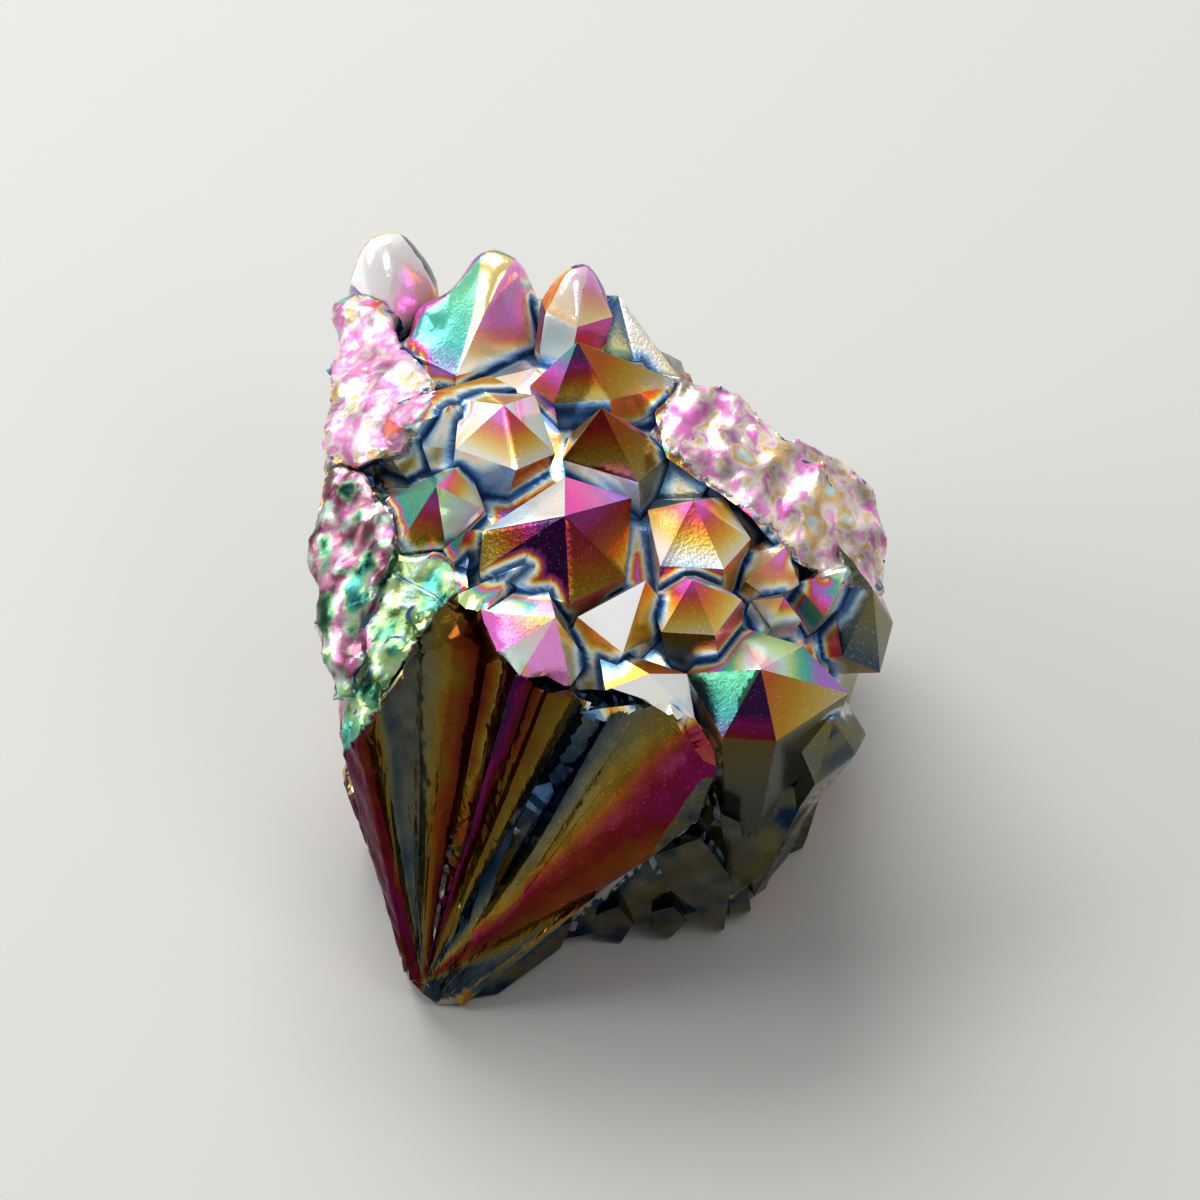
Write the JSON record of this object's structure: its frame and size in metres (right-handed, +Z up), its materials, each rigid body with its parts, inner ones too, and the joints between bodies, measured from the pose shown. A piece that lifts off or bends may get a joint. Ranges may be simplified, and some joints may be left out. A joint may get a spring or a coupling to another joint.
{
  "type": "aura quartz cluster",
  "caption": "Chunk of quartz druse with a metal film: faceted points crowd a domed crown, and long crystals taper below its front to a tip. Rests on its flat broken base as an ornament.",
  "frame": {"origin": "on the resting surface, below the middle of the bounding box", "axes": "+Z up, +Y away from the viewer and towards the back of the crown, +X to the viewer's right"},
  "size_m": [0.0384, 0.0446, 0.0364],
  "materials": {
    "aura_coating": "quartz under an opaque, mirror-like metal film in gold, magenta, purple, teal and blue"
  },
  "bodies": {
    "root": {"quartz_cluster": "aura_coating"}
  },
  "joints": []
}
